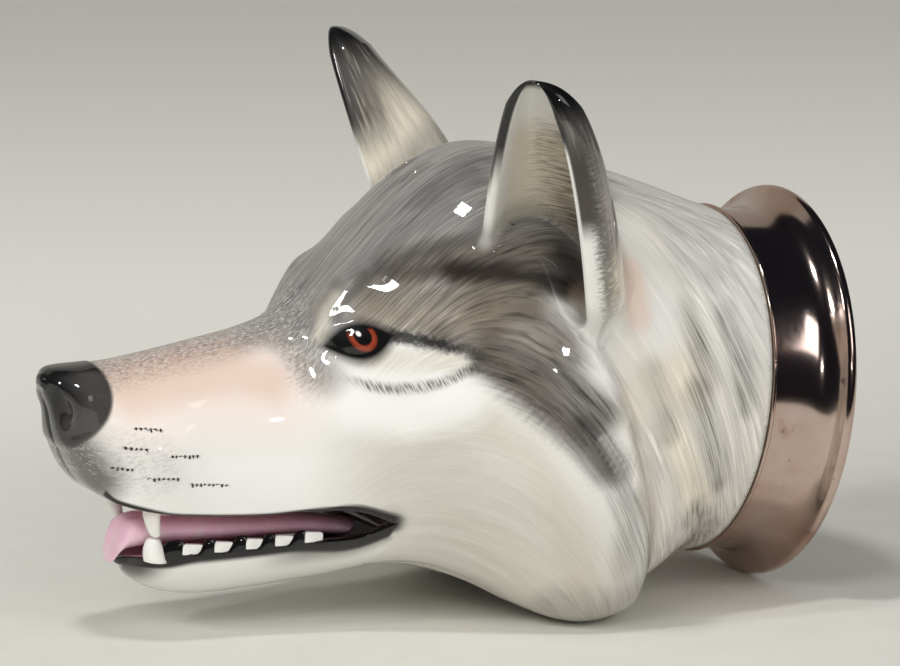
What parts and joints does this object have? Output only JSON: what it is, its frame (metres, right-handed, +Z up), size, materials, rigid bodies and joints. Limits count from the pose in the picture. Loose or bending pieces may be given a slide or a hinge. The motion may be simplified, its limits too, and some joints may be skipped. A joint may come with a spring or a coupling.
{
  "type": "stirrup cup",
  "caption": "Stirrup cup shaped as a wolf's head: a hollow painted porcelain head with open mouth and upright ears, set in a flared silver collar that is its drinking rim.",
  "frame": {"origin": "middle of the cup's box, on the table that it lies on", "axes": "-X from the drinking rim towards the nose, -Y towards the wolf's left side, +Z up from the table"},
  "size_m": [0.1776, 0.1166, 0.1223],
  "materials": {
    "painted_porcelain": "glazed porcelain, hand painted in greys, browns and black as fur",
    "tongue_glaze": "glazed porcelain, painted pink",
    "tooth_glaze": "glazed porcelain, left white",
    "cement": "matt pale cement",
    "silver": "polished silver, lightly tarnished"
  },
  "bodies": {
    "root": {"head_shell": "painted_porcelain", "lower_jaw": "painted_porcelain", "left_ear": "painted_porcelain", "right_ear": "painted_porcelain", "tongue": "tongue_glaze", "upper_left_fang": "tooth_glaze", "upper_right_fang": "tooth_glaze", "lower_left_fang": "tooth_glaze", "lower_right_fang": "tooth_glaze", "left_cheek_teeth": "tooth_glaze", "right_cheek_teeth": "tooth_glaze", "bedding_ring": "cement", "silver_collar": "silver"}
  },
  "joints": []
}
